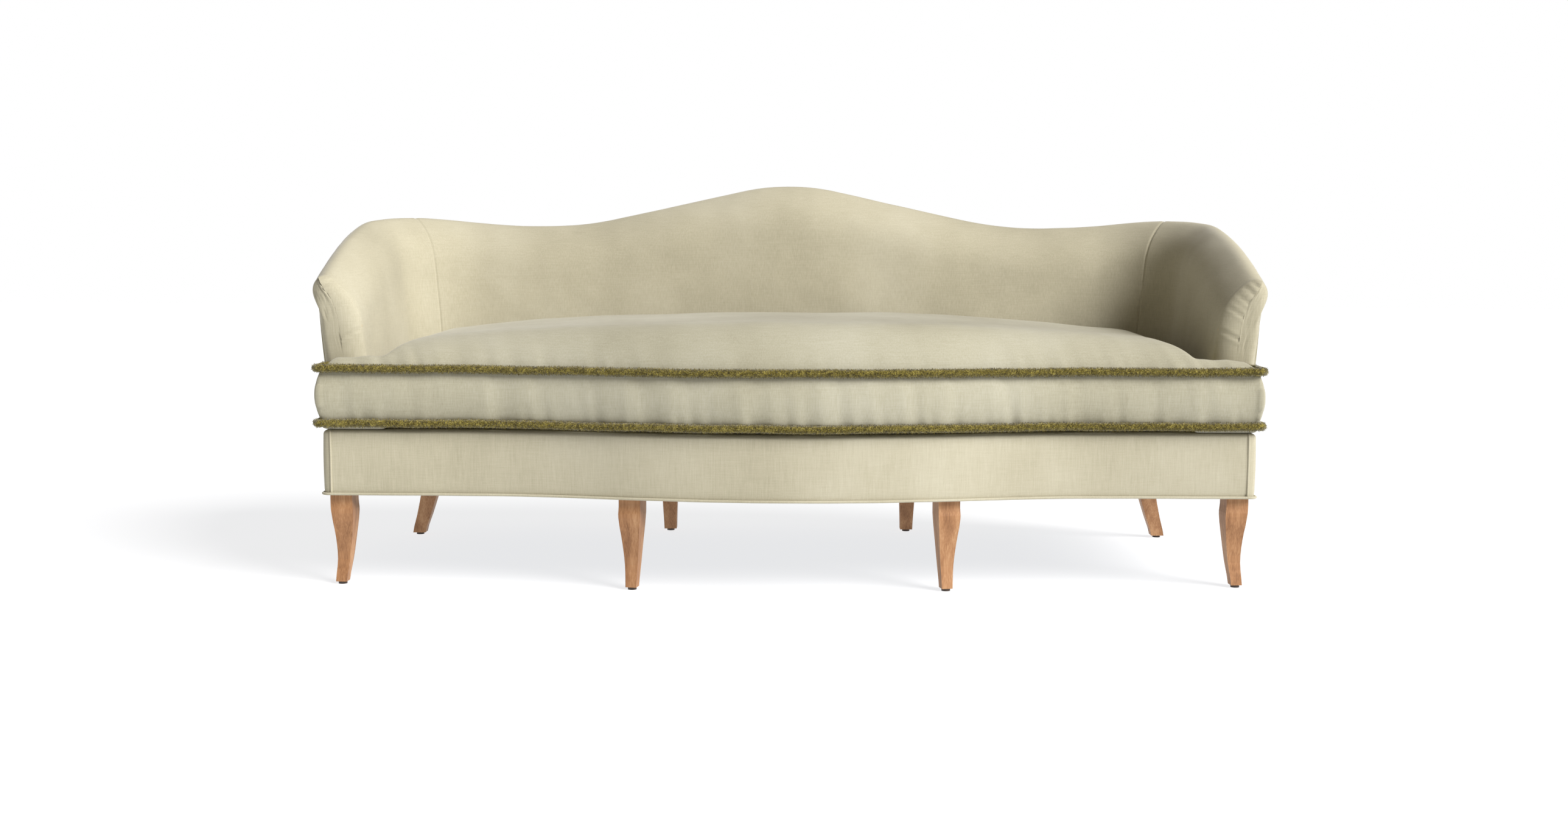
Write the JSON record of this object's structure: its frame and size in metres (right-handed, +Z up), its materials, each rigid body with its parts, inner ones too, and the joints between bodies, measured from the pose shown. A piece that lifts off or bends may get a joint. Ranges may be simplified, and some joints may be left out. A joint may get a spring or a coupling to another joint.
{
  "type": "camelback sofa",
  "caption": "Camelback sofa with a serpentine front, scrolled arms, one loose T-shaped seat cushion with brush trim, and oak sabre legs.",
  "frame": {"origin": "centre of the footprint box on the floor", "axes": "+X along the sofa to its right as seen from the front, -Y towards the sitter's knees, +Z up"},
  "size_m": [2.189, 0.9256, 0.923],
  "materials": {
    "leg_oak": "satin oak",
    "glide": "dark matte",
    "steel": "zinc plated",
    "webbing": "jute webbing",
    "brush_trim": "cut brush fringe",
    "dust_cloth": "black cambric",
    "deck_cloth": "plain deck cloth",
    "filling": "white ticking",
    "zip_tape": "woven tape with coil",
    "zip_metal": "nickel",
    "cushion_linen": "linen weave",
    "welt": "linen welt",
    "frame_wood": "planed hardwood",
    "linen": "linen weave"
  },
  "bodies": {
    "sofa": {"apron_back": "linen", "apron_front": "linen", "apron_left": "linen", "apron_right": "linen", "arm_front_left": "linen", "arm_front_right": "linen", "arm_lower_rail_left": "frame_wood", "arm_lower_rail_right": "frame_wood", "arm_post_left": "frame_wood", "arm_post_right": "frame_wood", "arm_stump_left": "frame_wood", "arm_stump_right": "frame_wood", "arm_top_rail_left": "frame_wood", "arm_top_rail_right": "frame_wood", "back_lower_rail": "frame_wood", "back_post_left": "frame_wood", "back_post_right": "frame_wood", "back_rail": "frame_wood", "base_welt": "welt", "centre_post_left": "frame_wood", "centre_post_right": "frame_wood", "corner_blocks": "frame_wood", "corner_rail_left": "frame_wood", "corner_rail_right": "frame_wood", "crest_rail": "frame_wood", "dust_cover": "dust_cloth", "front_leg_middle_left": "leg_oak", "front_leg_middle_right": "leg_oak", "front_leg_outer_left": "leg_oak", "front_leg_outer_right": "leg_oak", "front_rail": "frame_wood", "inside_arm_left": "linen", "inside_arm_right": "linen", "inside_back": "linen", "leg_bolts": "steel", "leg_glides": "glide", "outside_arm_left": "linen", "outside_arm_right": "linen", "outside_back": "linen", "rear_leg_middle_left": "leg_oak", "rear_leg_middle_right": "leg_oak", "rear_leg_outer_left": "leg_oak", "rear_leg_outer_right": "leg_oak", "seat_deck": "deck_cloth", "seat_stretchers": "frame_wood", "side_rail_left": "frame_wood", "side_rail_right": "frame_wood", "upper_corner_rail_left": "frame_wood", "upper_corner_rail_right": "frame_wood", "webbing_crosswise": "webbing", "webbing_lengthwise": "webbing"},
    "seat_cushion": {"cushion_cover": "cushion_linen", "cushion_insert": "filling", "cushion_top_trim": "brush_trim", "cushion_bottom_trim": "brush_trim", "cushion_zip": "zip_tape"},
    "zip_slider": {"zip_slider": "zip_metal"}
  },
  "joints": [
    {"name": "cushion_lift", "type": "slide", "parent": "sofa", "child": "seat_cushion", "axis": [0, 0, 1], "range_m": [0, 0.6]},
    {"name": "zip_slide", "type": "slide", "parent": "seat_cushion", "child": "zip_slider", "axis": [-1, 0, 0], "range_m": [0, 0.812]}
  ]
}
